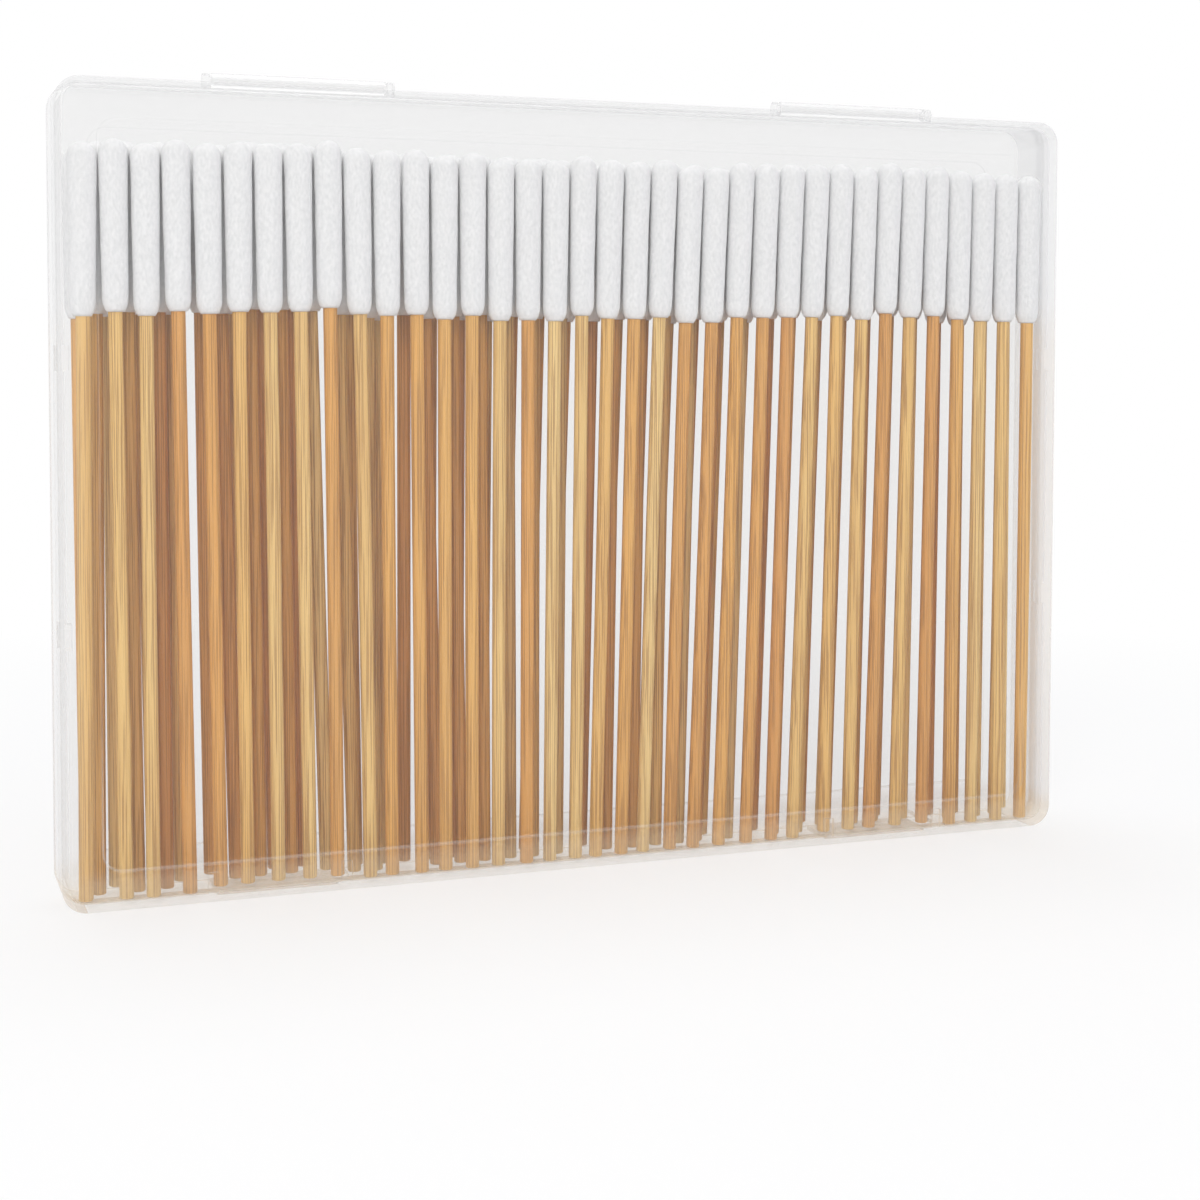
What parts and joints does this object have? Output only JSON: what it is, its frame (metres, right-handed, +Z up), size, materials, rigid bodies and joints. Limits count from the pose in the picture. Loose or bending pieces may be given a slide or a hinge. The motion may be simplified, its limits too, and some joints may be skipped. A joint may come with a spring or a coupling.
{
  "type": "box of cotton swabs",
  "caption": "Flat clear plastic case with a snap-hinged lid, full of long cotton swabs on bamboo sticks that stand side by side in nested rows, buds up.",
  "frame": {"origin": "under the middle of the closed case, on the surface that its long edge stands on", "axes": "+X along the case's width, to the right as the lid is looked at; the lid faces -Y; +Z up along the swabs, towards their buds and the hinges"},
  "size_m": [0.228, 0.0192, 0.1687],
  "materials": {
    "clear_plastic": "clear, gloss",
    "bamboo": "plain, fine grain",
    "cotton": "soft wound cotton"
  },
  "bodies": {
    "case": {"case_base": "clear_plastic", "front_sticks_1": "bamboo", "front_sticks_2": "bamboo", "front_sticks_3": "bamboo", "front_sticks_4": "bamboo", "front_sticks_5": "bamboo", "front_sticks_6": "bamboo", "front_sticks_7": "bamboo", "front_sticks_8": "bamboo", "front_sticks_9": "bamboo", "front_buds_1": "cotton", "front_buds_2": "cotton", "front_buds_3": "cotton", "front_buds_4": "cotton", "front_buds_5": "cotton", "front_buds_6": "cotton", "front_buds_7": "cotton", "front_buds_8": "cotton", "front_buds_9": "cotton", "middle_sticks_1": "bamboo", "middle_sticks_2": "bamboo", "middle_sticks_3": "bamboo", "middle_sticks_4": "bamboo", "middle_sticks_5": "bamboo", "middle_sticks_6": "bamboo", "middle_sticks_7": "bamboo", "middle_sticks_8": "bamboo", "middle_sticks_9": "bamboo", "middle_buds_1": "cotton", "middle_buds_2": "cotton", "middle_buds_3": "cotton", "middle_buds_4": "cotton", "middle_buds_5": "cotton", "middle_buds_6": "cotton", "middle_buds_7": "cotton", "middle_buds_8": "cotton", "middle_buds_9": "cotton", "back_sticks_1": "bamboo", "back_sticks_2": "bamboo", "back_sticks_3": "bamboo", "back_sticks_4": "bamboo", "back_sticks_5": "bamboo", "back_sticks_6": "bamboo", "back_sticks_7": "bamboo", "back_sticks_8": "bamboo", "back_sticks_9": "bamboo", "back_buds_1": "cotton", "back_buds_2": "cotton", "back_buds_3": "cotton", "back_buds_4": "cotton", "back_buds_5": "cotton", "back_buds_6": "cotton", "back_buds_7": "cotton", "back_buds_8": "cotton", "back_buds_9": "cotton"},
    "lid": {"case_lid": "clear_plastic"}
  },
  "joints": [
    {"name": "lid_hinge", "type": "hinge", "parent": "case", "child": "lid", "pos_m": [0, -0.001, 0.1672], "axis": [-1, 0, 0], "range_deg": [0, 180]}
  ]
}
